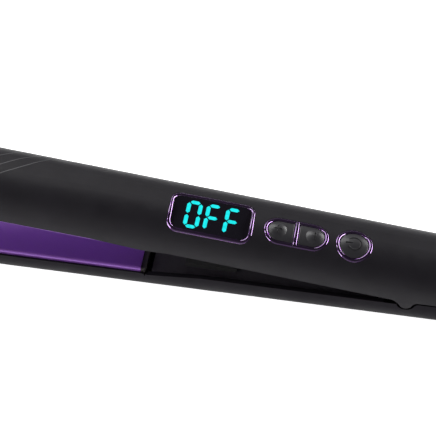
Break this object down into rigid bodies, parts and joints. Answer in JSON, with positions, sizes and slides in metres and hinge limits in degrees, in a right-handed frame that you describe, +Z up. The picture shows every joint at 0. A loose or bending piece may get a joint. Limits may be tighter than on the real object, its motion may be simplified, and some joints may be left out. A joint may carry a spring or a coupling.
{
  "type": "flat iron",
  "caption": "Hair straightener: two hinged arms with floating heated plates, seven-segment display, buttons on the shoulder, round tail with cord swivel.",
  "frame": {"origin": "middle of the flat strip under the lower arm, halfway between the tips and the end of the cord swivel", "axes": "+Z up, +X along the arms from the plates to the cord end, -Y the side with the controls"},
  "size_m": [0.276, 0.0272, 0.0375],
  "materials": {
    "casing": "soft-touch matte",
    "cover": "satin",
    "plate": "purple ceramic coat",
    "carrier": "matte",
    "ceramic": "matte",
    "steel": "satin",
    "trim": "gloss",
    "window": "gloss",
    "segment": "lit",
    "button": "gloss",
    "board": "satin",
    "component": "satin",
    "wire": "satin",
    "sleeve": "matte",
    "rubber": "matte",
    "nylon": "satin"
  },
  "bodies": {
    "lower_arm": {"lower_shell": "casing", "lower_tip_cap": "casing", "lower_cover": "cover", "lower_screws": "steel", "lower_float_springs": "steel", "lower_thermal_fuse": "steel", "lower_heater_leads": "sleeve", "power_board": "board", "power_parts": "component", "mains_leads": "wire", "hinge_yoke": "steel", "hinge_pin": "steel", "pin_clip": "steel", "hinge_washers": "nylon", "opening_spring": "steel", "stop_pad": "rubber", "rear_collar": "casing"},
    "lower_plate_float": {"lower_plate": "plate", "lower_carrier": "carrier", "lower_heater": "ceramic", "lower_heater_clamp": "steel", "lower_sensor": "component"},
    "upper_arm": {"upper_shell": "casing", "upper_tip_cap": "casing", "upper_cover": "cover", "upper_screws": "steel", "upper_float_springs": "steel", "upper_thermal_fuse": "steel", "upper_heater_leads": "sleeve", "hinge_knuckle": "steel", "display_trim": "trim", "display_segments": "segment", "display_window": "window", "display_module": "component", "button_trim": "trim", "power_trim": "trim", "control_board": "board", "button_switches": "component", "control_chip": "component"},
    "upper_plate_float": {"upper_plate": "plate", "upper_carrier": "carrier", "upper_heater": "ceramic", "upper_heater_clamp": "steel", "upper_sensor": "component"},
    "plus_button": {"plus_button": "button"},
    "minus_button": {"minus_button": "button"},
    "power_button": {"power_button": "button"},
    "cord_swivel": {"swivel_sleeve": "rubber", "swivel_clip": "steel"}
  },
  "joints": [
    {"name": "arm_hinge", "type": "hinge", "parent": "lower_arm", "child": "upper_arm", "pos_m": [0.061, 0, 0.0106], "axis": [0, 1, 0], "range_deg": [-4.8, 0], "stiffness_Nm_per_rad": 0.9, "springref_deg": 14.32, "deforming": ["opening_spring"]},
    {"name": "lower_plate_float", "type": "slide", "parent": "lower_arm", "child": "lower_plate_float", "axis": [0, 0, -1], "range_m": [0, 0.0008], "stiffness_N_per_m": 1500, "springref_m": -0.002, "deforming": ["lower_float_springs"]},
    {"name": "upper_plate_float", "type": "slide", "parent": "upper_arm", "child": "upper_plate_float", "axis": [0.0843, 0, 0.9964], "range_m": [0, 0.0008], "stiffness_N_per_m": 1500, "springref_m": -0.002, "deforming": ["upper_float_springs"]},
    {"name": "plus_button_press", "type": "slide", "parent": "upper_arm", "child": "plus_button", "axis": [-0.0819, 0.2385, -0.9677], "range_m": [0, 0.0004], "stiffness_N_per_m": 1200, "springref_m": -0.0005},
    {"name": "minus_button_press", "type": "slide", "parent": "upper_arm", "child": "minus_button", "axis": [-0.0819, 0.2385, -0.9677], "range_m": [0, 0.0004], "stiffness_N_per_m": 1200, "springref_m": -0.0005},
    {"name": "power_button_press", "type": "slide", "parent": "upper_arm", "child": "power_button", "axis": [-0.0819, 0.2385, -0.9677], "range_m": [0, 0.0004], "stiffness_N_per_m": 1200, "springref_m": -0.0005},
    {"name": "cord_swivel_turn", "type": "hinge", "parent": "lower_arm", "child": "cord_swivel", "pos_m": [0.123, 0, 0.0106], "axis": [1, 0, 0], "continuous": true}
  ]
}
